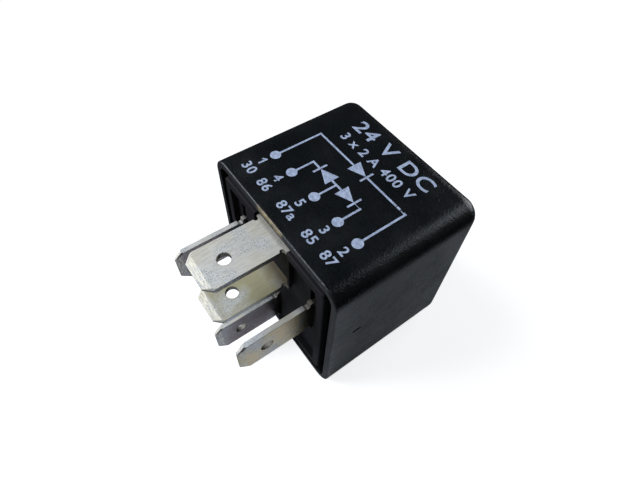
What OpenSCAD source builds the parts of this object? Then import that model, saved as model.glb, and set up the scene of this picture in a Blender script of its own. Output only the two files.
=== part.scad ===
// Three-diode module in the square five-blade case of a plug-in mini relay.
// Everything is drawn terminals up: Z = 0 is the rim of the cover, the blades stand above it and
// the case hangs below it, with the printed face towards +Y and the case's axis at X = Y = 0.
// lay() then turns the module on to the face opposite the print, with its blades towards -Y.

/* [Cover] */
// Outside width of the square cover
case_side = 27.6; // [26.8:0.1:32]
// Length of the cover, from its rim to the outside of its closed end
case_len = 24.1; // [23:0.1:34]
// Wall thickness of the cover
wall_t = 1; // [0.8:0.05:1.3]
// Radius of the four long edges
corner_r = 2.7; // [2.6:0.1:4]
// Radius of the edges round the closed end
end_r = 2; // [1.5:0.1:2.4]
// Rounding of the outer edge of the rim
rim_r = 0.25; // [0.1:0.05:0.4]
// Thickness of the inner ribs that the base stops against
rib_t = 1; // [0.6:0.1:1.6]
// How far each rib stands in from its wall
rib_h = 0.8; // [0.5:0.1:1.2]
// Distance of each rib from the middle of its wall
rib_at = 8; // [6.5:0.1:9]
// Length of the moulding gate's mark on the right-hand wall
gate_len = 1.5; // [1:0.1:2.5]
// Width of the gate's mark
gate_w = 0.6; // [0.4:0.1:0.9]
// Depth of the gate's mark
gate_d = 0.25; // [0.1:0.05:0.4]
// Distance from the rim to the middle of the gate's mark
gate_from_rim = 4.3; // [4:0.1:12]
// Height of the gate's mark above the case's axis
gate_up = 1.5; // [-6:0.1:6]

/* [Base] */
// Gap between the base and the cover's walls
base_clear = 0.1; // [0.05:0.05:0.2]
// Width of the groove between the cover's wall and the lip
groove_w = 1.3; // [0.9:0.05:1.7]
// Depth of the groove below the rim
groove_d = 1.6; // [1.2:0.1:2.4]
// Thickness of the base under the groove
plate_t = 2.2; // [1.8:0.1:3]
// Width of the lip round the base
lip_w = 1.25; // [1:0.05:2.2]
// How far the lip stands out past the cover's rim
lip_proud = 0.1; // [0:0.05:0.2]
// Radius of the lip's outer corners
lip_r = 0.6; // [0.5:0.1:2]
// Rounding of the lip's upper outer edge
lip_edge_r = 0.25; // [0.1:0.05:0.5]
// Depth of the recess inside the lip
recess_d = 0.7; // [0.4:0.1:1]
// Width of the cheeks that turn in from the lip beside terminal 87
cheek_w = 0.5; // [0.4:0.1:1.4]
// Length of the cheeks, from the lip's outer side
cheek_len = 8; // [4:0.1:8.4]
// Gap between the cheeks and the staked nubs of terminal 87
cheek_clear = 0.15; // [0.1:0.05:0.6]
// Distance from the lip to the pockets that the slots of terminals 85 and 86 run on into
pocket_gap = 1.35; // [1:0.05:1.8]
// Depth of these pockets below the floor of the recess
pocket_d = 1.2; // [0.6:0.1:1.6]
// Width of the break in the lip at terminal 30
break_w = 3.4; // [2:0.1:5]
// Radius of the snap beads on the base's two sides
bead_r = 0.5; // [0.3:0.05:0.7]
// How far the snap beads stand out from the base
bead_proud = 0.35; // [0.2:0.05:0.45]
// Length of the snap beads
bead_len = 10; // [4:0.5:14]
// Gap round each bead in the cover's snap groove
bead_clear = 0.1; // [0.05:0.05:0.2]

/* [Terminals] */
// Width of the blades
blade_w = 6.3; // [5.8:0.1:6.6]
// Thickness of the blades
blade_t = 0.8; // [0.6:0.05:1]
// Length of the blades beyond the rim
blade_len = 10.8; // [8:0.1:13]
// Chamfer across the corners of a blade's tip
tip_cham = 1.05; // [0.5:0.05:1.6]
// Length of the coined bevels at a blade's tip
coin_len = 1; // [0.5:0.1:1.8]
// Width of the coined bevels along the chamfers of a blade's tip
corner_coin = 0.25; // [0.1:0.05:0.5]
// Thickness left between the bevels at the very tip
tip_t = 0.35; // [0.2:0.05:0.5]
// Diameter of the locking hole in each blade
hole_d = 1.8; // [1.2:0.1:2.2]
// Distance from a blade's tip to the middle of its locking hole
hole_from_tip = 4.15; // [3:0.05:5]
// Diameter of the half-round notches that staking leaves in the blade's edges
notch_d = 0.7; // [0.4:0.1:1]
// How far the staked nubs spread past the blade's edges
nub_w = 0.45; // [0.3:0.05:0.8]
// Height of the staked nubs above the floor of the recess
nub_h = 0.6; // [0.4:0.1:0.9]
// Gap between a blade and its slot in the base
slot_clear = 0.05; // [0.02:0.01:0.1]
// Width of the shoulder that seats on the base's inner face
shoulder_w = 7.8; // [7:0.1:8.4]
// Height of the shoulder
shoulder_h = 1.2; // [0.8:0.1:1.8]
// Width of the soldering tails
tail_w = 4.6; // [4:0.1:5.6]
// How far a tail runs on past its solder joint
tail_over = 1.6; // [1.3:0.1:2]

/* [Terminal pattern] */
// Distance of terminals 85 and 86 in from the sides of the cover
side_in = 5.4; // [5:0.1:5.8]
// Height of terminals 85 and 86 above the axis
side_y = 1.65; // [0.8:0.05:2.4]
// Distance of terminal 87 in from the printed face of the cover
top_in = 3.1; // [2.9:0.05:3.4]
// Height of terminal 87a above the axis
mid_y = 2.2; // [1.6:0.05:2.8]
// Distance of terminal 30's middle in from the face opposite the print
low_in = 5.55; // [5.3:0.05:6.2]

/* [Diodes] */
// Diameter of the diode bodies
diode_d = 2.7; // [2:0.1:3]
// Length of the diode bodies
diode_len = 5.2; // [4:0.1:6.4]
// Rounding of the diode bodies' ends
diode_r = 0.35; // [0.1:0.05:0.6]
// Diameter of the diode leads
lead_d = 0.8; // [0.6:0.05:0.9]
// Radius of the bends in the leads, at their middle
bend_r = 1.2; // [0.8:0.1:1.6]
// Straight run of a lead between the body and its bend
lead_run = 1.2; // [0.6:0.1:1.8]
// How far a lead stands out past the tail that it goes through
lead_proud = 0.8; // [0.5:0.1:1]
// Distance of the two outer diodes from the case's axis
diode_x = 4.2; // [4.1:0.1:4.8]
// Distance from the base's inner face to the leads that lie on terminal 87a
lap_depth = 4.2; // [3:0.1:5]

/* [Solder] */
// Film of solder between a lead and the tail that it lies on
lap_film = 0.08; // [0.05:0.01:0.15]
// Length of the solder along a lead that lies on a tail
lap_len = 4; // [3:0.1:4.6]
// Radius of that solder at its middle
lap_r = 1; // [0.8:0.05:1.2]
// Half of the gap between the two lead ends on terminal 87a
lead_gap = 0.2; // [0.1:0.05:0.4]
// How far the lead on terminal 30 runs on past its solder
lead_over = 0.2; // [0.1:0.05:0.4]
// Gap between a lead and its hole in a tail, filled with solder
hole_film = 0.1; // [0.05:0.05:0.2]
// Radius of the solder cone on the face of a tail
cone_r = 1.1; // [0.9:0.05:1.3]
// Radius of the solder cone where it ends on the lead
cone_end_r = 0.5; // [0.47:0.01:0.6]
// Height of the solder cone
cone_h = 0.6; // [0.3:0.05:0.7]

/* [Hidden] */
$fn = 64;

// How far a cutting shape runs past the face that it cuts
past = 1;

// Inside of the cover, and the base that fills its mouth
inner_side = case_side - 2 * wall_t;
inner_r = corner_r - wall_t;
base_side = inner_side - 2 * base_clear;
base_r = inner_r - base_clear;
lip_side = inner_side - 2 * groove_w;
recess_side = lip_side - 2 * lip_w;
recess_r = max(lip_r - lip_w, 0.3);
lip_gap = blade_w + 2 * (nub_w + cheek_clear);

// Places of the outer terminals, from the case's axis
side_x = case_side / 2 - side_in;
top_y = case_side / 2 - top_in;
low_y = case_side / 2 - low_in;

// Levels, from the rim downwards
floor_z = -recess_d;
plate_z = -groove_d;
seat_z = plate_z - plate_t;
lap_z = seat_z - lap_depth;
outer_top_z = lap_z - bend_r - lead_run;
outer_low_z = outer_top_z - diode_len;
through_z = outer_low_z - lead_run - bend_r;
middle_z = (outer_top_z + outer_low_z) / 2;
bead_z = plate_z - plate_t / 2;

// A lead that lies on a tail has its axis this far from the middle of the tail's thickness
lap_off = blade_t / 2 + lap_film + lead_d / 2;
lap_y = mid_y - lap_off;
tail_hole_d = lead_d + 2 * hole_film;
middle_y = (top_y - low_y) / 2;

plastic_black = "#15171b";
base_black = "#1d1f22";
tin_plate = "#c6c3ba";
epoxy_black = "#232325";
tinned_copper = "#cfc8bd";
solder_grey = "#b9bcc0";

// Turns the module from its drawing position on to the face opposite the print
module lay() {
    translate([0, (blade_len - case_len) / 2, case_side / 2]) rotate([90, 0, 0]) children();
}

// What rounding takes off a square corner: a square less a quarter disc
module spandrel(r) {
    difference() {
        square(r);
        circle(r);
    }
}

// Half of an upright section, from the axis to half_w, with its lower and upper outer corners rounded
module half_section(half_w, height, low_r, top_r) {
    difference() {
        square([half_w, height]);
        if (low_r > 0) translate([half_w - low_r, low_r]) mirror([0, 1]) spandrel(low_r);
        if (top_r > 0) translate([half_w - top_r, height - top_r]) spandrel(top_r);
    }
}

// A square block with rounded long edges and rounded edges round its two ends, standing on Z = 0
module block(side, height, edge_r, low_r, top_r) {
    span = side / 2 - edge_r;
    for (x = [-span, span], y = [-span, span])
        translate([x, y, 0]) rotate_extrude() half_section(edge_r, height, low_r, top_r);
    for (turn = [0, 90])
        rotate([90, 0, turn]) linear_extrude(2 * span, center = true) section(side / 2, height, low_r, top_r);
}

// The whole upright section of a block, both halves
module section(half_w, height, low_r, top_r) {
    half_section(half_w, height, low_r, top_r);
    mirror([1, 0]) half_section(half_w, height, low_r, top_r);
}

// Snap beads along the base's two sides, or the grooves that take them
module snap_beads(r, length) {
    for (x = [-1, 1])
        translate([x * (base_side / 2 + bead_proud - bead_r), 0, bead_z])
            rotate([90, 0, 0]) cylinder(r = r, h = length, center = true);
}

// Ribs down the four inner walls, from the base's inner face to the closed end, rooted halfway into the walls
module stop_ribs() {
    root_side = case_side - wall_t;
    intersection() {
        translate([0, 0, wall_t / 2 - case_len])
            block(root_side, case_len + seat_z - wall_t / 2, corner_r - wall_t / 2, end_r - wall_t / 2, 0);
        for (turn = [0 : 90 : 270], side = [-rib_at, rib_at])
            rotate(turn) translate([side - rib_t / 2, inner_side / 2 - rib_h, -case_len])
                cube([rib_t, rib_h + wall_t, case_len]);
    }
}

// The shallow oblong mark of the moulding gate on the right-hand wall
module gate_mark() {
    reach = (gate_len - gate_w) / 2;
    translate([case_side / 2 - gate_d, gate_up, -gate_from_rim]) rotate([0, 90, 0]) {
        for (end = [-reach, reach])
            translate([end, 0, 0]) cylinder(d = gate_w, h = gate_d + past);
        translate([-reach, -gate_w / 2, 0]) cube([2 * reach, gate_w, gate_d + past]);
    }
}

module cover() {
    color(plastic_black) lay() {
        difference() {
            translate([0, 0, -case_len]) block(case_side, case_len, corner_r, end_r, rim_r);
            translate([0, 0, wall_t - case_len]) block(inner_side, case_len, inner_r, end_r - wall_t, 0);
            snap_beads(bead_r + bead_clear, bead_len + 2 * bead_clear);
            gate_mark();
        }
        stop_ribs();
    }
}

// Two walls that turn in from the ends of the lip beside terminal 87, with round ends
module cheeks() {
    for (x = [-1, 1])
        translate([x * (lip_gap + cheek_w) / 2, lip_side / 2 - cheek_len + cheek_w / 2, seat_z]) {
            cylinder(d = cheek_w, h = lip_proud - seat_z);
            translate([-cheek_w / 2, 0, 0])
                cube([cheek_w, cheek_len - cheek_w / 2 - lip_edge_r, lip_proud - seat_z]);
        }
}

// The lip's recess, and its two breaks: a wide one at terminal 87 and a narrow one at terminal 30
module recess() {
    translate([0, 0, floor_z]) {
        block(recess_side, recess_d + past, recess_r, 0, 0);
        translate([-lip_gap / 2, 0, 0]) cube([lip_gap, lip_side / 2 + past, recess_d + past]);
        translate([-break_w / 2, -lip_side / 2 - past, 0]) cube([break_w, lip_side / 2 + past, recess_d + past]);
    }
}

// A slot through the base for one blade
module blade_slot() {
    cube([blade_w + 2 * slot_clear, blade_t + 2 * slot_clear, -4 * seat_z], center = true);
}

// A slot's run-on past its blade, towards the print: a pocket in the floor of the recess
module slot_pocket() {
    start = blade_w / 2;
    slot_t = blade_t + 2 * slot_clear;
    translate([start, -slot_t / 2, floor_z - pocket_d])
        cube([recess_side / 2 - pocket_gap - side_y - start, slot_t, pocket_d + past]);
}

module base() {
    // The floor runs out under terminal 30's lower nub, across the groove to the base's edge
    pad_y = base_side / 2;
    color(base_black) lay() difference() {
        union() {
            translate([0, 0, seat_z]) block(base_side, plate_t, base_r, 0, 0);
            difference() {
                translate([0, 0, seat_z]) block(lip_side, lip_proud - seat_z, lip_r, 0, lip_edge_r);
                recess();
            }
            translate([-break_w / 2, -pad_y, seat_z]) cube([break_w, pad_y, floor_z - seat_z]);
            cheeks();
            snap_beads(bead_r, bead_len);
        }
        at_87() blade_slot();
        at_87a() blade_slot();
        at_85() blade_slot();
        at_86() blade_slot();
        at_30() blade_slot();
        at_85() slot_pocket();
        at_86() slot_pocket();
    }
}

// Places of the terminals: 87 and 87a lie across the case, the other three stand up and down in it
module at_87() {
    translate([0, top_y, 0]) children();
}

module at_87a() {
    translate([0, mid_y, 0]) children();
}

module at_85() {
    translate([side_x, side_y, 0]) rotate(90) children();
}

module at_86() {
    translate([-side_x, side_y, 0]) rotate(90) children();
}

module at_30() {
    translate([0, -low_y, 0]) rotate(90) children();
}

// One staked nub, spread past the blade's edge and rounded at its outer top corner
module nub() {
    nub_r = min(nub_w, nub_h) / 2;
    translate([blade_w / 2 - nub_w, floor_z]) difference() {
        square([2 * nub_w, nub_h]);
        translate([2 * nub_w - nub_r, nub_h - nub_r]) spandrel(nub_r);
    }
}

// Flat outline of a terminal, width along X and length along Y: blade, nubs, shoulder and tail
module terminal_outline(tail_z) {
    half = blade_w / 2;
    difference() {
        union() {
            polygon([
                [-half, seat_z - shoulder_h], [half, seat_z - shoulder_h], [half, blade_len - tip_cham],
                [half - tip_cham, blade_len], [tip_cham - half, blade_len], [-half, blade_len - tip_cham]
            ]);
            translate([-shoulder_w / 2, seat_z - shoulder_h]) square([shoulder_w, shoulder_h]);
            translate([-tail_w / 2, tail_z]) square([tail_w, seat_z - tail_z]);
            for (side = [0, 1]) mirror([side, 0]) nub();
        }
        for (side = [-half, half]) translate([side, floor_z + nub_h + notch_d / 2]) circle(d = notch_d);
        translate([0, blade_len - hole_from_tip]) circle(d = hole_d);
    }
}

// Side view of a terminal, thickness along X and length along Y, with the tip coined to a wedge
module terminal_side(tail_z) {
    half = blade_t / 2;
    polygon([
        [-half, tail_z - past], [half, tail_z - past], [half, blade_len - coin_len],
        [tip_t / 2, blade_len], [-tip_t / 2, blade_len], [-half, blade_len - coin_len]
    ]);
}

// The wedge that coining takes off one face of a blade along one of its tip's chamfers
module corner_wedge() {
    face = blade_t / 2;
    translate([(blade_w - tip_cham) / 2, 0, blade_len - tip_cham / 2]) rotate([0, -45, 0])
        linear_extrude(2 * (tip_cham + corner_coin), center = true) polygon([
            [-corner_coin, face], [0, tip_t / 2], [past, tip_t / 2], [past, blade_t], [-corner_coin, blade_t]
        ]);
}

// A stamped terminal standing on end, thickness along Y, its tail ending at tail_z
module terminal(tail_z) {
    difference() {
        intersection() {
            rotate([90, 0, 0]) linear_extrude(blade_t, center = true) terminal_outline(tail_z);
            rotate([90, 0, 90]) linear_extrude(2 * shoulder_w, center = true) terminal_side(tail_z);
        }
        for (side = [0, 1], face = [0, 1]) mirror([side, 0, 0]) mirror([0, face, 0]) corner_wedge();
    }
}

// A hole through a tail for a lead, u along the tail's width
module tail_hole(u, z) {
    translate([u, 0, z]) rotate([90, 0, 0]) cylinder(d = tail_hole_d, h = blade_t + 2 * past, center = true);
}

module terminal_30() {
    color(tin_plate) lay() at_30() terminal(middle_z - tail_over);
}

module terminal_85() {
    color(tin_plate) lay() at_85() difference() {
        terminal(through_z - tail_over);
        tail_hole(lap_y - side_y, through_z);
    }
}

module terminal_86() {
    color(tin_plate) lay() at_86() difference() {
        terminal(through_z - tail_over);
        tail_hole(lap_y - side_y, through_z);
    }
}

module terminal_87() {
    color(tin_plate) lay() at_87() difference() {
        terminal(middle_z - tail_over);
        tail_hole(lap_off, middle_z);
    }
}

module terminal_87a() {
    color(tin_plate) lay() at_87a() terminal(lap_z - tail_over);
}

// A moulded diode body standing on Z = 0
module diode_body() {
    color(epoxy_black) rotate_extrude() half_section(diode_d / 2, diode_len, diode_r, diode_r);
}

// A lead from the origin up Z, then round one bend and along +X
module bent_lead(run) {
    color(tinned_copper) {
        cylinder(d = lead_d, h = lead_run);
        translate([bend_r, 0, lead_run]) rotate([90, 0, 0]) rotate(90)
            rotate_extrude(angle = 90) translate([bend_r, 0]) circle(d = lead_d);
        translate([bend_r, 0, lead_run + bend_r]) rotate([0, 90, 0]) cylinder(d = lead_d, h = run);
    }
}

// The middle diode's line, from terminal 30 to terminal 87, with Z running up the case from the axis
module along_middle(y) {
    translate([lap_off, y, middle_z]) rotate([-90, 0, 0]) children();
}

module diode_87_body() {
    lay() along_middle(middle_y - diode_len / 2) diode_body();
}

module diode_87_anode_lead() {
    lead_end = -low_y - lap_len / 2 - lead_over;
    color(tinned_copper) lay() along_middle(lead_end)
        cylinder(d = lead_d, h = middle_y - diode_len / 2 - lead_end);
}

module diode_87_cathode_lead() {
    start = middle_y + diode_len / 2;
    color(tinned_copper) lay() along_middle(start)
        cylinder(d = lead_d, h = top_y + blade_t / 2 + lead_proud - start);
}

// The outer diodes stand on end between terminal 87a and terminals 85 and 86, drawn on the right
module outer_anode_lead() {
    translate([diode_x, lap_y, outer_top_z]) mirror([1, 0, 0]) bent_lead(diode_x - bend_r - lead_gap);
}

module outer_cathode_lead() {
    translate([diode_x, lap_y, outer_low_z]) mirror([0, 0, 1])
        bent_lead(side_x + blade_t / 2 + lead_proud - diode_x - bend_r);
}

module outer_body() {
    translate([diode_x, lap_y, outer_low_z]) diode_body();
}

module diode_85_body() {
    lay() outer_body();
}

module diode_85_anode_lead() {
    lay() outer_anode_lead();
}

module diode_85_cathode_lead() {
    lay() outer_cathode_lead();
}

module diode_86_body() {
    lay() mirror([1, 0, 0]) outer_body();
}

module diode_86_anode_lead() {
    lay() mirror([1, 0, 0]) outer_anode_lead();
}

module diode_86_cathode_lead() {
    lay() mirror([1, 0, 0]) outer_cathode_lead();
}

// Solder round a lead through a tail: a cone on each face and a sleeve in the hole, along Z
module through_solder() {
    color(solder_grey) difference() {
        union() {
            cylinder(d = tail_hole_d, h = blade_t, center = true);
            for (face = [0, 1]) mirror([0, 0, face])
                translate([0, 0, blade_t / 2]) cylinder(r1 = cone_r, r2 = cone_end_r, h = cone_h);
        }
        cylinder(d = lead_d, h = blade_t + 2 * cone_h + 2 * past, center = true);
    }
}

// Solder along a lead on a tail: a spindle along Z, cut flat by the tail's face on the +X side
module lap_solder() {
    spindle_r = (lap_len * lap_len / 4 + lap_r * lap_r) / (2 * lap_r);
    face_x = lap_film + lead_d / 2;
    color(solder_grey) difference() {
        rotate_extrude() intersection() {
            translate([lap_r - spindle_r, 0]) circle(spindle_r);
            translate([0, -lap_len / 2]) square([lap_r, lap_len]);
        }
        translate([face_x, -lap_len / 2, -lap_len / 2]) cube(lap_len);
    }
}

module solder_30() {
    color(solder_grey) lay() along_middle(-low_y) difference() {
        rotate(180) lap_solder();
        cylinder(d = lead_d, h = lap_len + 2 * past, center = true);
    }
}

module solder_85() {
    lay() translate([side_x, lap_y, through_z]) rotate([0, 90, 0]) through_solder();
}

module solder_86() {
    lay() translate([-side_x, lap_y, through_z]) rotate([0, 90, 0]) through_solder();
}

module solder_87() {
    lay() along_middle(top_y) through_solder();
}

module solder_87a() {
    color(solder_grey) lay() translate([0, lap_y, lap_z]) rotate([0, 90, 0]) difference() {
        rotate(90) lap_solder();
        for (end = [0, 1]) mirror([0, 0, end])
            translate([0, 0, lead_gap]) cylinder(d = lead_d, h = lap_len);
    }
}

cover();
base();
terminal_30();
terminal_85();
terminal_86();
terminal_87();
terminal_87a();
diode_87_body();
diode_87_anode_lead();
diode_87_cathode_lead();
diode_86_body();
diode_86_anode_lead();
diode_86_cathode_lead();
diode_85_body();
diode_85_anode_lead();
diode_85_cathode_lead();
solder_30();
solder_85();
solder_86();
solder_87();
solder_87a();
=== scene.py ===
"""Looks of a three-diode module in the square case of a plug-in relay.

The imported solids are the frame. Here they get their finishes, the blades and the base get softer edges,
the circuit is printed on the cover, and a pale studio and the camera are set round them.
"""
import math

import bmesh
import bpy
import numpy as np
from mathutils import Matrix, Vector


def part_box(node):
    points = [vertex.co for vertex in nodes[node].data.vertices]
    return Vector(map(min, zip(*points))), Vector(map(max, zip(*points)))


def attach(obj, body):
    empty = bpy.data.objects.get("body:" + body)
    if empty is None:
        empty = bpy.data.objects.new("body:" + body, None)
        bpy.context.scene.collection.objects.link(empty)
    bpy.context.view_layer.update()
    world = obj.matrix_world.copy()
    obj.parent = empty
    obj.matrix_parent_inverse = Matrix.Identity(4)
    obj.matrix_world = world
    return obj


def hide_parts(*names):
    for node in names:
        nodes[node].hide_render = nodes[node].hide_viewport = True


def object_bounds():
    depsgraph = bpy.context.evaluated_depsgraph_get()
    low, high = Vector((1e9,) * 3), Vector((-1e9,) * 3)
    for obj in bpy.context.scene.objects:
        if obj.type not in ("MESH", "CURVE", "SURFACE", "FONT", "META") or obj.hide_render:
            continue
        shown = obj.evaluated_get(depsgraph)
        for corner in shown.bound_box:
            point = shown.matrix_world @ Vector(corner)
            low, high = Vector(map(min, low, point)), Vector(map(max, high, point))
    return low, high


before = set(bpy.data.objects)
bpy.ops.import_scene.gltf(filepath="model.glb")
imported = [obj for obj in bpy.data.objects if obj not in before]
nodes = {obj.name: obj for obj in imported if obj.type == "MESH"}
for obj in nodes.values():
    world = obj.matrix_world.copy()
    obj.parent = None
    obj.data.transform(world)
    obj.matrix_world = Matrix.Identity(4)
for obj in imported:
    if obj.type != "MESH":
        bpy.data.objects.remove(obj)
cad_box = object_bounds()

MM = 0.001

# Planes of the case that the finishes and the print are placed from
cover_low, cover_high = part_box("cover")
RIM_Y = cover_low.y
LABEL_Z = cover_high.z
TIP_Y = cad_box[0].y


# Node trees

def srgb(code):
    """Linear RGBA of an sRGB hex colour, by the standard's own curve."""
    values = np.array([int(code[i:i + 2], 16) for i in (1, 3, 5)]) / 255
    linear = np.where(values <= 0.04045, values / 12.92, ((values + 0.055) / 1.055) ** 2.4)
    return (*linear.tolist(), 1.0)


def add(tree, kind, links=None, **settings):
    """Adds a shader node. Settings are its own options, links its inputs: a value or an output."""
    node = tree.nodes.new("ShaderNode" + kind)
    for name, value in settings.items():
        setattr(node, name, value)
    for socket, value in (links or {}).items():
        if isinstance(value, bpy.types.NodeSocket):
            tree.links.new(value, node.inputs[socket])
        else:
            node.inputs[socket].default_value = value
    return node


def start_material(name):
    """A material with an empty tree, and the Object coordinates that its patterns read."""
    material = bpy.data.materials.new(name)
    material.use_nodes = True
    tree = material.node_tree
    tree.nodes.clear()
    return material, tree, add(tree, "TexCoord").outputs["Object"]


def close_material(tree, shader):
    """Joins the shader to the material's output."""
    add(tree, "OutputMaterial", {"Surface": shader.outputs[0]})


# Sockets of the Mix node: its factor, the two colours and their mix, and the two plain numbers
FACTOR, FIRST, SECOND, MIXED = 0, 6, 7, 2
FIRST_NUMBER, SECOND_NUMBER = 2, 3
# Most of a noise's values lie in this band, which a Map Range spreads from its lowest to its highest
NOISE_BAND = {"From Min": 0.35, "From Max": 0.65}


# Finishes

def moulded_cover():
    """Black moulded nylon: a satin skin, specked by glass fibre, with the fine grain of its mould.

    The grain breaks up the highlights. It is drawn about three times coarser than it is, so that it
    shows. Handling leaves cloudy dull patches. The rim is rubbed grey and dull, and over blade 87 it
    carries a thin blotchy tan band of painted reflection of that blade.
    """
    grain_width, grain_depth = 0.24 * MM, 0.06 * MM
    cloud_width = 5 * MM
    clear_rough, cloudy_rough, rubbed_rough = 0.18, 0.38, 0.9
    rub_width, rub_most = 0.3 * MM, 0.5
    blotch_width = 0.9 * MM
    # Where the painted reflection of blade 87 lies on the rim: full near the middle, gone further out, and
    # rising between two heights just under the label
    reflection_half, reflection_end = 1.6 * MM, 4 * MM
    reflection_low, reflection_high = LABEL_Z - 1.1 * MM, LABEL_Z - 0.5 * MM
    material, tree, place = start_material("satin_black_nylon")
    along = add(tree, "SeparateXYZ", {0: place})
    # Skin
    grain = add(tree, "TexNoise", {"Vector": place, "Scale": 1 / grain_width, "Detail": 2})
    speck = add(tree, "MapRange", {"Value": grain.outputs["Fac"], **NOISE_BAND})
    black = add(tree, "Mix", {
        FACTOR: speck.outputs[0], FIRST: srgb("#010203"), SECOND: srgb("#0d1013")}, data_type="RGBA")
    bump = add(tree, "Bump", {"Height": grain.outputs["Fac"], "Strength": 1, "Distance": grain_depth})
    clouds = add(tree, "TexNoise", {"Vector": place, "Scale": 1 / cloud_width, "Detail": 3})
    rough = add(tree, "MapRange", {
        "Value": clouds.outputs["Fac"], "From Min": 0.3, "From Max": 0.7,
        "To Min": clear_rough, "To Max": cloudy_rough})
    # Rubbed rim
    rub = add(tree, "MapRange", {
        "Value": along.outputs["Y"], "From Min": RIM_Y + rub_width, "From Max": RIM_Y,
        "To Min": 0, "To Max": rub_most})
    colour = add(tree, "Mix", {
        FACTOR: rub.outputs[0], FIRST: black.outputs[MIXED], SECOND: srgb("#202025")}, data_type="RGBA")
    dulled = add(tree, "Mix", {
        FACTOR: rub.outputs[0], FIRST_NUMBER: rough.outputs[0], SECOND_NUMBER: rubbed_rough})
    # Painted reflection of blade 87 on the rim, only as far as the rim is rubbed
    aside = add(tree, "Math", {0: along.outputs["X"]}, operation="ABSOLUTE")
    beside = add(tree, "MapRange", {
        "Value": aside.outputs[0], "From Min": reflection_end, "From Max": reflection_half})
    high = add(tree, "MapRange", {
        "Value": along.outputs["Z"], "From Min": reflection_low, "From Max": reflection_high})
    over = add(tree, "Math", {0: beside.outputs[0], 1: high.outputs[0]}, operation="MULTIPLY")
    blotches = add(tree, "TexNoise", {"Vector": place, "Scale": 1 / blotch_width, "Detail": 3})
    patchy = add(tree, "Math", {0: over.outputs[0], 1: blotches.outputs["Fac"]}, operation="MULTIPLY")
    thick = add(tree, "MapRange", {
        "Value": patchy.outputs[0], "From Min": 0.2, "From Max": 0.6, "To Min": 0, "To Max": 1 / rub_most})
    tan = add(tree, "Math", {0: thick.outputs[0], 1: rub.outputs[0]}, operation="MULTIPLY")
    # The painted reflection's tan
    with_reflection = add(tree, "Mix", {
        FACTOR: tan.outputs[0], FIRST: colour.outputs[MIXED], SECOND: srgb("#968a66")}, data_type="RGBA")
    close_material(tree, add(tree, "BsdfPrincipled", {
        "Base Color": with_reflection.outputs[MIXED], "Roughness": dulled.outputs[0],
        "Normal": bump.outputs[0], "IOR": 1.5, "Specular Tint": srgb("#e8f2ff")}))
    return material


def moulded_base():
    """Black moulded nylon with more glass fibre: duller than the cover, with a coarser grain.

    The grain is drawn about three times coarser than it is, so that it shows.
    """
    grain_width, grain_depth = 0.3 * MM, 0.03 * MM
    material, tree, place = start_material("dull_black_nylon")
    grain = add(tree, "TexNoise", {"Vector": place, "Scale": 1 / grain_width, "Detail": 3})
    colour = add(tree, "Mix", {
        FACTOR: grain.outputs["Fac"], FIRST: srgb("#08080e"), SECOND: srgb("#12121c")}, data_type="RGBA")
    bump = add(tree, "Bump", {"Height": grain.outputs["Fac"], "Strength": 0.3, "Distance": grain_depth})
    close_material(tree, add(tree, "BsdfPrincipled", {
        "Base Color": colour.outputs[MIXED], "Roughness": 0.72, "Normal": bump.outputs[0], "IOR": 1.3}))
    return material


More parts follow.
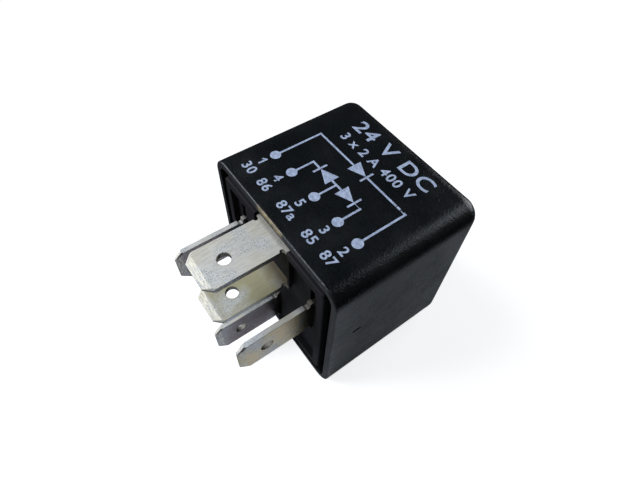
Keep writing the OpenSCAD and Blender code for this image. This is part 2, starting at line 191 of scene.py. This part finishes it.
def tin_plate(number, tarnish_and_shade, tint, face_polish, edge_polish, flat):
    """Tin plate on a rolled brass strip, tarnished in clouds on its faces and silver on its sheared edges.

    A socket rubbed the tip of a dull face back to silver, and a polished face keeps its tone there. Tin
    crystals give a fine mottle, the rolling gives streaks along the blade, and pits lie in clusters.
    Coining left bright lines across the tip. The root is darkened, partly by grime and partly by
    painted shade where it meets the base, and the wall of the lock hole is darkened by painted shade.
    The mottle, the streaks and the pits are drawn two or three times coarser than they are, so that
    they show.
    """
    patch_width = 4 * MM
    mottle_width, pit_width, streak_width = 0.16 * MM, 0.14 * MM, 0.12 * MM
    stretch = 0.12
    streak_depth = 0.01 * MM
    coined_len = 1 * MM
    rubbed_tip = 0.25
    tip_tarnish_and_shade = tarnish_and_shade * (rubbed_tip + (1 - rubbed_tip) * face_polish)
    # The more tarnish, the darker the root's grime and painted shade, and the further they reach from the
    # root
    root_shade_most = 0.35 + 0.6 * tarnish_and_shade
    root_shade_len = (0.15 + 2.1 * tarnish_and_shade) * MM
    root_shade_end = RIM_Y + 0.2 * MM
    # The lock hole of the solids, and the ring of painted shade on its wall and round it
    hole_r, hole_y = 0.9 * MM, TIP_Y + 4.15 * MM
    hole_ring, hole_shade = 0.1 * MM, 0.72
    dull_metal, polish_gain = 0.25, 0.4
    material, tree, place = start_material(f"dull_tin_plate_{number}")
    along = add(tree, "SeparateXYZ", {0: place})
    normal = add(tree, "TexCoord").outputs["Normal"]
    facing = add(tree, "VectorMath", {0: normal, 1: flat}, operation="DOT_PRODUCT")
    on_flat = add(tree, "Math", {0: facing.outputs["Value"]}, operation="ABSOLUTE")
    # Tarnish over the silver
    patches = add(tree, "TexNoise", {"Vector": place, "Scale": 1 / patch_width, "Detail": 5})
    warm = add(tree, "MapRange", {"Value": patches.outputs["Fac"], **NOISE_BAND})
    silver = add(tree, "Mix", {
        FACTOR: warm.outputs[0], FIRST: srgb("#c6cdd6"), SECOND: srgb("#cacac5")}, data_type="RGBA")
    rubbed = add(tree, "MapRange", {
        "Value": along.outputs["Y"], "From Min": TIP_Y + coined_len, "From Max": TIP_Y + 1.5 * coined_len,
        "To Min": tip_tarnish_and_shade, "To Max": tarnish_and_shade})
    soiled = add(tree, "Math", {0: rubbed.outputs[0], 1: on_flat.outputs[0]}, operation="MULTIPLY")
    cloudy = add(tree, "MapRange", {
        "Value": patches.outputs["Fac"], **NOISE_BAND, "To Min": 0.2, "To Max": 1.3})
    toned = add(tree, "Math", {
        0: soiled.outputs[0], 1: cloudy.outputs[0]}, operation="MULTIPLY", use_clamp=True)
    plate = add(tree, "Mix", {
        FACTOR: toned.outputs[0], FIRST: silver.outputs[MIXED], SECOND: srgb(tint)}, data_type="RGBA")
    # Mottle, and pits where the patches are thin
    lengthwise = add(tree, "Mapping", {"Vector": place, "Scale": (1, stretch, 1)}).outputs[0]
    mottle = add(tree, "TexNoise", {"Vector": lengthwise, "Scale": 1 / mottle_width, "Detail": 4})
    dull = add(tree, "MapRange", {
        "Value": mottle.outputs["Fac"], "From Min": 0.4, "From Max": 0.7, "To Min": 0, "To Max": 0.38})
    mottled = add(tree, "Mix", {
        FACTOR: dull.outputs[0], FIRST: plate.outputs[MIXED], SECOND: srgb("#85847c")}, data_type="RGBA")
    cluster = add(tree, "MapRange", {
        "Value": patches.outputs["Fac"], "From Min": 0.53, "From Max": 0.45, "To Min": 0.1, "To Max": 1})
    pits = add(tree, "TexNoise", {"Vector": place, "Scale": 1 / pit_width, "Detail": 2})
    deep = add(tree, "MapRange", {
        "Value": pits.outputs["Fac"], "From Min": 0.53, "From Max": 0.66, "To Min": 0, "To Max": 0.75})
    pitted = add(tree, "Math", {0: cluster.outputs[0], 1: deep.outputs[0]}, operation="MULTIPLY")
    worn = add(tree, "Mix", {
        FACTOR: pitted.outputs[0], FIRST: mottled.outputs[MIXED], SECOND: srgb("#5e5d58")},
        data_type="RGBA")
    # Coined tip
    across = add(tree, "Mapping", {"Vector": place, "Scale": (stretch, 1, stretch)}).outputs[0]
    lines = add(tree, "TexNoise", {"Vector": across, "Scale": 1 / streak_width, "Detail": 1})
    line = add(tree, "MapRange", {"Value": lines.outputs["Fac"], "From Min": 0.45, "From Max": 0.6})
    tip = add(tree, "Math", {0: along.outputs["Y"], 1: TIP_Y + coined_len}, operation="LESS_THAN")
    coined = add(tree, "Math", {0: line.outputs[0], 1: tip.outputs[0]}, operation="MULTIPLY")
    bright = add(tree, "Mix", {
        FACTOR: coined.outputs[0], FIRST: worn.outputs[MIXED], SECOND: srgb("#dbdacf")}, data_type="RGBA")
    # Painted shade at the root, partly grime, and painted shade in the hole by the distance from its axis
    root = add(tree, "MapRange", {
        "Value": along.outputs["Y"], "From Min": root_shade_end - root_shade_len, "From Max": root_shade_end,
        "To Min": 0, "To Max": root_shade_most})
    low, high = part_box(f"terminal_{number}")
    hole_middle = Vector(((low.x + high.x) / 2, hole_y, (low.z + high.z) / 2))
    in_plane = Vector((1, 1, 1)) - Vector(flat)
    from_hole = add(tree, "Mapping", {
        "Vector": place, "Location": -(in_plane * hole_middle), "Scale": in_plane})
    reach = add(tree, "VectorMath", {0: from_hole.outputs[0]}, operation="LENGTH")
    in_hole = add(tree, "MapRange", {
        "Value": reach.outputs["Value"], "From Min": hole_r + hole_ring, "From Max": hole_r,
        "To Min": 0, "To Max": hole_shade})
    grime_and_shade = add(tree, "Math", {0: root.outputs[0], 1: in_hole.outputs[0]}, operation="MAXIMUM")
    shaded = add(tree, "Mix", {
        FACTOR: grime_and_shade.outputs[0], FIRST: bright.outputs[MIXED], SECOND: srgb("#4b4436")}, data_type="RGBA")
    # Polish
    streaks = add(tree, "TexNoise", {"Vector": lengthwise, "Scale": 1 / streak_width, "Detail": 2})
    bump = add(tree, "Bump", {"Height": streaks.outputs["Fac"], "Strength": 0.3, "Distance": streak_depth})
    rough = add(tree, "MapRange", {
        "Value": streaks.outputs["Fac"], "From Min": 0.3, "From Max": 0.7, "To Min": 0.66, "To Max": 0.78})
    shine = add(tree, "MapRange", {
        "Value": on_flat.outputs[0], "To Min": edge_polish, "To Max": face_polish})
    gloss = add(tree, "Math", {
        0: shine.outputs[0], 1: -polish_gain, 2: rough.outputs[0]}, operation="MULTIPLY_ADD")
    metal = add(tree, "Math", {
        0: shine.outputs[0], 1: 1 - dull_metal, 2: dull_metal}, operation="MULTIPLY_ADD")
    close_material(tree, add(tree, "BsdfPrincipled", {
        "Base Color": shaded.outputs[MIXED], "Metallic": metal.outputs[0], "Roughness": gloss.outputs[0],
        "Normal": bump.outputs[0]}))
    return material


def pad_ink():
    """Pad-printed white ink with a cool cast: dry, mottled by the pad, with pinholes where it didn't take.

    The pinholes are drawn about twice as wide as they are, so that they show.
    """
    mottle_width = 0.5 * MM
    pinhole_width = 0.2 * MM
    material, tree, place = start_material("pad_printed_ink")
    mottle = add(tree, "TexNoise", {"Vector": place, "Scale": 1 / mottle_width, "Detail": 3})
    thick = add(tree, "MapRange", {"Value": mottle.outputs["Fac"], **NOISE_BAND})
    layer = add(tree, "Mix", {
        FACTOR: thick.outputs[0], FIRST: srgb("#8796b3"), SECOND: srgb("#a5b5d3")}, data_type="RGBA")
    holes = add(tree, "TexNoise", {"Vector": place, "Scale": 1 / pinhole_width, "Detail": 2})
    thin = add(tree, "MapRange", {
        "Value": holes.outputs["Fac"], "From Min": 0.55, "From Max": 0.72, "To Min": 0, "To Max": 0.55})
    colour = add(tree, "Mix", {
        FACTOR: thin.outputs[0], FIRST: layer.outputs[MIXED], SECOND: srgb("#3c3e4a")}, data_type="RGBA")
    close_material(tree, add(tree, "BsdfPrincipled", {
        "Base Color": colour.outputs[MIXED], "Roughness": 0.6, "IOR": 1.45}))
    return material


def diode_epoxy():
    """Black moulding epoxy: matt, and slightly speckled with filler, which is drawn coarser than it is."""
    filler_width = 0.15 * MM
    material, tree, place = start_material("moulded_epoxy")
    filler = add(tree, "TexNoise", {"Vector": place, "Scale": 1 / filler_width, "Detail": 2})
    colour = add(tree, "Mix", {
        FACTOR: filler.outputs["Fac"], FIRST: srgb("#17171a"), SECOND: srgb("#2c2c30")}, data_type="RGBA")
    close_material(tree, add(tree, "BsdfPrincipled", {
        "Base Color": colour.outputs[MIXED], "Roughness": 0.55, "IOR": 1.55}))
    return material


def tinned_copper():
    """Tinned copper wire: bright drawn metal with faint dull spots."""
    spot_width = 0.4 * MM
    material, tree, place = start_material("tinned_copper_wire")
    spots = add(tree, "TexNoise", {"Vector": place, "Scale": 1 / spot_width, "Detail": 2})
    rough = add(tree, "MapRange", {"Value": spots.outputs["Fac"], "To Min": 0.2, "To Max": 0.45})
    close_material(tree, add(tree, "BsdfPrincipled", {
        "Base Color": srgb("#cfc9be"), "Metallic": 1.0, "Roughness": rough.outputs[0]}))
    return material


def solder_alloy():
    """Tin solder that froze slowly: a soft grey shine with a frosted grain."""
    frost_width = 0.25 * MM
    material, tree, place = start_material("tin_solder")
    frost = add(tree, "TexNoise", {"Vector": place, "Scale": 1 / frost_width, "Detail": 3})
    rough = add(tree, "MapRange", {"Value": frost.outputs["Fac"], "To Min": 0.2, "To Max": 0.5})
    close_material(tree, add(tree, "BsdfPrincipled", {
        "Base Color": srgb("#c0c2c5"), "Metallic": 1.0, "Roughness": rough.outputs[0]}))
    return material


FINISHES = {
    "cover_plastic": moulded_cover(),
    "base_plastic": moulded_base(),
    "diode_epoxy": diode_epoxy(),
    "lead_wire": tinned_copper(),
    "solder": solder_alloy(),
}
# Of each blade: how far it is tarnished and to what colour, on 87a partly painted shade, how polished
# its faces and its edges are, and the axis that its faces are square to
OLIVE, TAN, MAUVE = "#9f9d80", "#dccba8", "#a4909a"
UPRIGHT, LYING = (1, 0, 0), (0, 0, 1)
BLADES = {
    "30": (0.7, MAUVE, 1, 0.2, UPRIGHT),
    "85": (0.9, TAN, 1, 0, UPRIGHT),
    "86": (0.7, MAUVE, 1, 0.2, UPRIGHT),
    "87": (0.15, OLIVE, 0, 1, LYING),
    # 87a lies in the shade of 87: its full tarnish is partly real and partly painted shade, with a painted
    #                              warm reflection of 87's underside
    "87a": (1, OLIVE, 0, 1, LYING),
}
BLADE_FINISHES = {f"terminal_{number}": tin_plate(number, *looks) for number, looks in BLADES.items()}
ink = pad_ink()
for name, node in nodes.items():
    slot = node.material_slots[0]
    slot.material = BLADE_FINISHES.get(name) or FINISHES[slot.material.name]


# Pieces

# Rounding asked for on the blades and the base. Blender holds it to about 0.05 and 0.03 mm, because
# the shortest facets allow no more.
BLADE_EDGE_R, BASE_EDGE_R = 0.15 * MM, 0.1 * MM
# Only edges sharper than these are rounded: the steps between the facets of their curves are less sharp
BLADE_FACET_STEP, BASE_FACET_STEP = math.radians(11), math.radians(35)


def add_piece(name, mesh, material):
    """Puts a finished mesh into the scene as a piece that rides with the case."""
    mesh.materials.clear()
    mesh.materials.append(material)
    piece = bpy.data.objects.new(name, mesh)
    bpy.context.scene.collection.objects.link(piece)
    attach(piece, "root")
    return piece


def soften_edges(node, name, edge_r, facet_step):
    """A stand-in for a node with its sharp edges rounded: its own mesh, merged, and a small bevel.

    The faces between the rounded edges stay flat.
    """
    mesh = bpy.data.meshes.new(name)
    shape = bmesh.new()
    shape.from_mesh(nodes[node].data)
    bmesh.ops.remove_doubles(shape, verts=shape.verts, dist=0.001 * MM)
    bmesh.ops.dissolve_limit(shape, angle_limit=math.radians(1), verts=shape.verts, edges=shape.edges)
    shape.to_mesh(mesh)
    shape.free()
    mesh.shade_smooth()
    mesh.set_sharp_from_angle(angle=facet_step)
    piece = add_piece(name, mesh, nodes[node].material_slots[0].material)
    bevel = piece.modifiers.new("rounded_edges", "BEVEL")
    bevel.width = edge_r
    bevel.segments = 2
    bevel.limit_method = "ANGLE"
    bevel.angle_limit = facet_step
    flats = piece.modifiers.new("flat_faces", "WEIGHTED_NORMAL")
    flats.weight = 100
    flats.keep_sharp = True
    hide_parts(node)


for number in BLADES:
    soften_edges(f"terminal_{number}", f"blade_{number}", BLADE_EDGE_R, BLADE_FACET_STEP)
soften_edges("base", "moulded_base", BASE_EDGE_R, BASE_FACET_STEP)


# Print, in millimetres from the middle of the label's rim edge

# The ink's film, and how much of it lies below the label face
INK_T = 0.03
INK_SUNK = INK_T / 3
# Widths of a whole line and of a worn one
LINE_W, WORN_W = 0.3, 0.12
DOT_D = 1.52
DOT_X = (-9.0, -5.1, 0, 4.9, 8.8)
DOT_Y = 6.76
# Heights of the two brackets of line, and along them the base and the tip of each diode's sign
OUTER_Y, INNER_Y = 14.43, 10.31
OUTER_SIGN = (-1.5, 1.05)
INNER_SIGN = (1.0, 3.5)
SIGN_H = 2.3
# The inner signs lie to both sides of this
SIGN_MIDDLE = 0.07


def ink_line(points, width=LINE_W):
    """A strip along a path: each point moves half the width to both sides, along the mitre."""
    path = np.array(points, float)
    steps = np.diff(path, axis=0)
    steps /= np.linalg.norm(steps, axis=1)[:, None]
    sides = np.stack([-steps[:, 1], steps[:, 0]], axis=1)
    before = np.vstack([sides[:1], sides])
    after = np.vstack([sides, sides[-1:]])
    mitre = before + after
    mitre /= np.sum(mitre * before, axis=1)[:, None]
    left, right = path + mitre * width / 2, path - mitre * width / 2
    count = len(path)
    i = np.arange(count - 1)
    faces = np.stack([count + i, count + i + 1, i + 1, i], axis=1)
    return np.vstack([left, right]), faces.tolist()


def ink_dot(x, points=48):
    """A disc less the sliver under its line: an arc from one side of the line round to the other."""
    open_half = math.asin(LINE_W / DOT_D)
    turn = np.pi / 2 + np.linspace(open_half, 2 * np.pi - open_half, points)
    ring = np.stack([x + DOT_D / 2 * np.cos(turn), DOT_Y + DOT_D / 2 * np.sin(turn)], axis=1)
    return ring, [list(range(points))]


def ink_diode(base_x, tip_x, y):
    """A diode's sign: a triangle from its base to its tip, and the bar that the tip touches."""
    way = np.sign(tip_x - base_x)
    bar_x = tip_x + way * LINE_W / 2
    half = SIGN_H / 2
    triangle = np.array([[base_x, y - half * way], [tip_x, y], [base_x, y + half * way]])
    return joined([(triangle, [[0, 1, 2]]), ink_line([(bar_x, y - half), (bar_x, y + half)])])


def ink_text(words, height, x, y, boldness=0.02, stretch=1.06):
    """Lettering with its middle at x and its foot at y: the plain built-in letters, thickened and scaled.

    They stand a little apart, so that the thickened letters don't touch.
    """
    curve = bpy.data.curves.new("lettering", "FONT")
    curve.body = words
    curve.align_x = "CENTER"
    curve.offset = boldness
    curve.resolution_u = 6
    curve.space_character = 1.12
    source = bpy.data.objects.new("lettering", curve)
    mesh = bpy.data.meshes.new_from_object(source)
    points = np.zeros(3 * len(mesh.vertices))
    mesh.vertices.foreach_get("co", points)
    points = points.reshape(-1, 3)[:, :2]
    faces = [list(face.vertices) for face in mesh.polygons]
    bpy.data.objects.remove(source)
    bpy.data.curves.remove(curve)
    bpy.data.meshes.remove(mesh)
    scale = height / np.ptp(points[:, 1])
    points = (points - [0, points[:, 1].min()]) * scale * [stretch, 1]
    return points + [x, y], faces


def ink_one(height, x, y):
    """The figure one: an upright stem, with a flag that falls from its top to the left."""
    stem_w, flag_w = 0.2 * height, 0.24 * height
    flag_top, flag_low, root = 0.74 * height, 0.55 * height, 0.7 * height
    outline = np.array([
        [0, 0], [stem_w, 0], [stem_w, height], [0.2 * stem_w, height],
        [-flag_w, flag_top], [-flag_w, flag_low], [0, root]])
    return outline + [x, y], [list(range(len(outline)))]


def joined(shapes):
    """Several flat shapes as one: their points stacked, and their faces counted on from the last."""
    starts = np.cumsum([0] + [len(points) for points, _ in shapes])
    faces = [[i + start for i in face] for start, (_, part) in zip(starts, shapes) for face in part]
    return np.vstack([points for points, _ in shapes]), faces


def print_on_label(name, shapes):
    """Lays flat shapes on the label face and gives them the ink's thickness."""
    points, faces = joined(shapes)
    placed = np.column_stack([
        points[:, 0] * MM, RIM_Y + points[:, 1] * MM, np.full(len(points), LABEL_Z - INK_SUNK * MM)])
    mesh = bpy.data.meshes.new(name)
    mesh.from_pydata(placed.tolist(), [], faces)
    piece = add_piece(name, mesh, ink)
    film = piece.modifiers.new("ink_film", "SOLIDIFY")
    film.thickness = INK_T * MM
    film.offset = 1


def printed_circuit():
    """The three-diode circuit: two brackets of line over the dots, with a diode sign in each stretch.

    The ink is worn: the outer line is broken near its right corner, and little is left of one inner
    stretch.
    """
    # A hair clear of the dots, so that each stays a closed solid of its own
    hair = 0.002
    foot = DOT_Y + math.sqrt(DOT_D ** 2 - LINE_W ** 2) / 2 + hair
    outer_left, inner_left, middle, inner_right, outer_right = DOT_X
    outer_in, outer_out = OUTER_SIGN
    left_in, left_out = (SIGN_MIDDLE - along for along in INNER_SIGN)
    right_in, right_out = (SIGN_MIDDLE + along for along in INNER_SIGN)
    first_break, second_break, worn_end = 7.12, 7.85, 8.45
    break_w = 0.13
    worn_y = OUTER_Y - WORN_W / 2
    return [
        ink_line([(outer_left, foot), (outer_left, OUTER_Y), (outer_in, OUTER_Y)]),
        ink_line([(outer_out + LINE_W, OUTER_Y), (first_break, OUTER_Y)]),
        ink_line([(first_break + break_w, OUTER_Y), (second_break, OUTER_Y)]),
        ink_line([(second_break + break_w, worn_y), (worn_end, worn_y)], WORN_W),
        ink_line([(worn_end, OUTER_Y), (outer_right, OUTER_Y), (outer_right, foot)]),
        ink_line([(inner_left, foot), (inner_left, INNER_Y), (left_out - LINE_W, INNER_Y)]),
        ink_line([(left_in, INNER_Y), (right_in, INNER_Y)]),
        ink_line([(right_out + LINE_W, INNER_Y), (inner_right - LINE_W / 2, INNER_Y)], WORN_W / 2),
        ink_line([(inner_right, foot), (inner_right, INNER_Y + LINE_W / 2)]),
        ink_line([(middle, foot), (middle, INNER_Y - LINE_W / 2)]),
        *[ink_dot(x) for x in DOT_X],
        ink_diode(outer_in, outer_out, OUTER_Y),
        ink_diode(left_in, left_out, INNER_Y),
        ink_diode(right_in, right_out, INNER_Y),
    ]


def printed_numbers():
    """The circuit's own numbers in a row under its dots, and the terminals' numbers under those."""
    own_h, own_y, own_x = 1.42, 4.02, (-9.1, -5.3, -0.2, 4.95, 8.75)
    pair_h, pair_y, pair_x = 1.48, 1.92, (-9.0, -5.3, -0.2, 4.75, 8.5)
    return [
        ink_one(own_h, own_x[0], own_y),
        *[ink_text(word, own_h, x, own_y) for word, x in zip("4532", own_x[1:])],
        *[ink_text(word, pair_h, x, pair_y) for word, x in zip(("30", "86", "87a", "85", "87"), pair_x)],
    ]


def printed_rating():
    """Two generic lines over the circuit: the voltage in wide letters, and the diodes' rating under it."""
    voltage_h, voltage_y = 2.45, 18.95
    rating_h, rating_y = 1.57, 16.3
    return [
        ink_text("24 V DC", voltage_h, 0, voltage_y, boldness=0.014, stretch=1.16),
        ink_text("3 x 2 A 400 V", rating_h, 0, rating_y),
    ]


print_on_label("printed_circuit", printed_circuit())
print_on_label("printed_numbers", printed_numbers())
print_on_label("printed_rating", printed_rating())


# Studio

def lift(tree, seen, mirrored):
    """Light added for the camera's own rays, and a little for mirrored and transmitted ones."""
    rays = add(tree, "LightPath").outputs
    bounced = add(tree, "Math", {
        0: rays["Is Glossy Ray"], 1: rays["Is Transmission Ray"]}, operation="MAXIMUM")
    little = add(tree, "Math", {0: bounced.outputs[0], 1: mirrored}, operation="MULTIPLY")
    total = add(tree, "Math", {
        0: rays["Is Camera Ray"], 1: seen, 2: little.outputs[0]}, operation="MULTIPLY_ADD")
    return total.outputs[0]


def studio_floor():
    """Pale paper, bright round the part and dark further out, so that the case mirrors a dark room.

    The camera sees all of it lifted to white, with the shadow kept.
    """
    middle = (8 * MM, 10 * MM, 0)
    bright_r, dark_r = 20 * MM, 50 * MM
    near_lift, far_lift = 0.76, 1
    material, tree, place = start_material("seamless_paper")
    away = add(tree, "VectorMath", {0: place, 1: middle}, operation="DISTANCE")
    far = add(tree, "MapRange", {
        "Value": away.outputs["Value"], "From Min": bright_r, "From Max": dark_r})
    tone = add(tree, "Mix", {
        FACTOR: far.outputs[0], FIRST: srgb("#cad0d8"), SECOND: srgb("#202226")}, data_type="RGBA")
    white = add(tree, "MapRange", {"Value": far.outputs[0], "To Min": near_lift, "To Max": far_lift})
    paper = add(tree, "BsdfDiffuse", {"Color": tone.outputs[MIXED]})
    glow = add(tree, "Emission", {
        "Color": srgb("#ffffff"), "Strength": lift(tree, seen=white.outputs[0], mirrored=0.01)})
    close_material(tree, add(tree, "AddShader", {0: paper.outputs[0], 1: glow.outputs[0]}))
    return material


def lay_floor(half_width=2.0):
    """One square sheet under the part, level with its back face."""
    corners = np.array([[-1, -1, 0], [1, -1, 0], [1, 1, 0], [-1, 1, 0]]) * half_width
    mesh = bpy.data.meshes.new("floor")
    mesh.from_pydata(corners.tolist(), [], [[0, 1, 2, 3]])
    mesh.materials.append(studio_floor())
    floor = bpy.data.objects.new("floor", mesh)
    bpy.context.scene.collection.objects.link(floor)


def softbox(name, direction, distance, side, radiance):
    """A square lamp that faces the part; its power is radiance times pi times its area."""
    lamp = bpy.data.lights.new(name, "AREA")
    lamp.shape = "SQUARE"
    lamp.size = side
    lamp.energy = radiance * math.pi * side ** 2
    holder = bpy.data.objects.new(name, lamp)
    way = Vector(direction).normalized()
    holder.location = (cad_box[0] + cad_box[1]) / 2 + way * distance
    holder.rotation_euler = way.to_track_quat("Z", "Y").to_euler()
    holder.visible_camera = False
    bpy.context.scene.collection.objects.link(holder)


def light_room():
    """A dim even room, so that the black case mirrors little. The camera sees it white, as a backdrop."""
    world = bpy.data.worlds.new("room")
    bpy.context.scene.world = world
    world.use_nodes = True
    tree = world.node_tree
    tree.nodes.clear()
    room = add(tree, "Background", {"Color": srgb("#3a3d3f")})
    backdrop = add(tree, "Background", {
        "Color": srgb("#ffffff"), "Strength": lift(tree, seen=0.96, mirrored=0.02)})
    both = add(tree, "AddShader", {0: room.outputs[0], 1: backdrop.outputs[0]})
    add(tree, "OutputWorld", {"Surface": both.outputs[0]})


lay_floor()
light_room()
softbox("key", direction=(-0.59, -0.53, 0.61), distance=0.4, side=0.28, radiance=10.0)
softbox("edge_panel", direction=(0.3, 0.66, 0.69), distance=0.35, side=0.15, radiance=1.55)
softbox("back_fill", direction=(0.12, 0.95, 0.28), distance=0.35, side=0.25, radiance=2.8)


# Camera, fitted to the case's edges and the blades in a picture of 640 by 480 pixels

IMAGE_W = 640
FOCAL_PX = 454.4
CAMERA_MM = (29.75, -23.07, 71.77)
AZIMUTH, ELEVATION, ROLL = (math.radians(angle) for angle in (-50.375, 54.886, -4.126))


def set_camera():
    """Looks along azimuth and elevation from the camera's place, turned by the roll about that line."""
    ahead = Vector((math.sin(AZIMUTH) * math.cos(ELEVATION), math.cos(AZIMUTH) * math.cos(ELEVATION),
                    -math.sin(ELEVATION)))
    level = Vector((math.cos(AZIMUTH), -math.sin(AZIMUTH), 0))
    down = ahead.cross(level)
    right = math.cos(ROLL) * level + math.sin(ROLL) * down
    up = math.sin(ROLL) * level - math.cos(ROLL) * down
    lens = bpy.data.cameras.new("camera")
    lens.sensor_width = 36
    lens.lens = FOCAL_PX / IMAGE_W * lens.sensor_width
    lens.clip_start = MM
    camera = bpy.data.objects.new("camera", lens)
    turn = Matrix((right, up, -ahead)).transposed().to_4x4()
    camera.matrix_world = Matrix.Translation(Vector(CAMERA_MM) * MM) @ turn
    bpy.context.scene.collection.objects.link(camera)
    bpy.context.scene.camera = camera


set_camera()
bpy.context.scene.view_settings.view_transform = "Standard"
